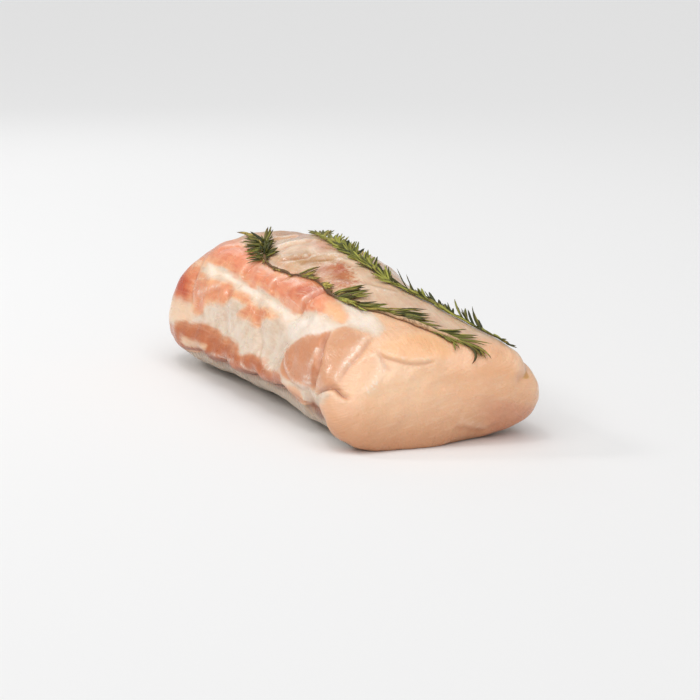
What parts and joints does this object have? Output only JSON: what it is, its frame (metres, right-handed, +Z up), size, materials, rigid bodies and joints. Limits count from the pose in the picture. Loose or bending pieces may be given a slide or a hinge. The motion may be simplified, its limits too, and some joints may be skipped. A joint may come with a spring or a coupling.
{
  "type": "pork loin roast",
  "caption": "Raw boneless pork loin roast, a long rounded joint with one cut end, folded muscle and fat on its flank and sprigs of rosemary laid along the top.",
  "frame": {"origin": "on the surface the roast rests on, under the middle of its box", "axes": "+X along the joint to its near cut end, +Z up, the flank with the fat seam faces -Y"},
  "size_m": [0.2292, 0.119, 0.0838],
  "materials": {
    "raw_pork": null,
    "rosemary": null
  },
  "bodies": {
    "root": {"roast": "raw_pork", "rosemary_front": "rosemary", "rosemary_rear": "rosemary"}
  },
  "joints": []
}
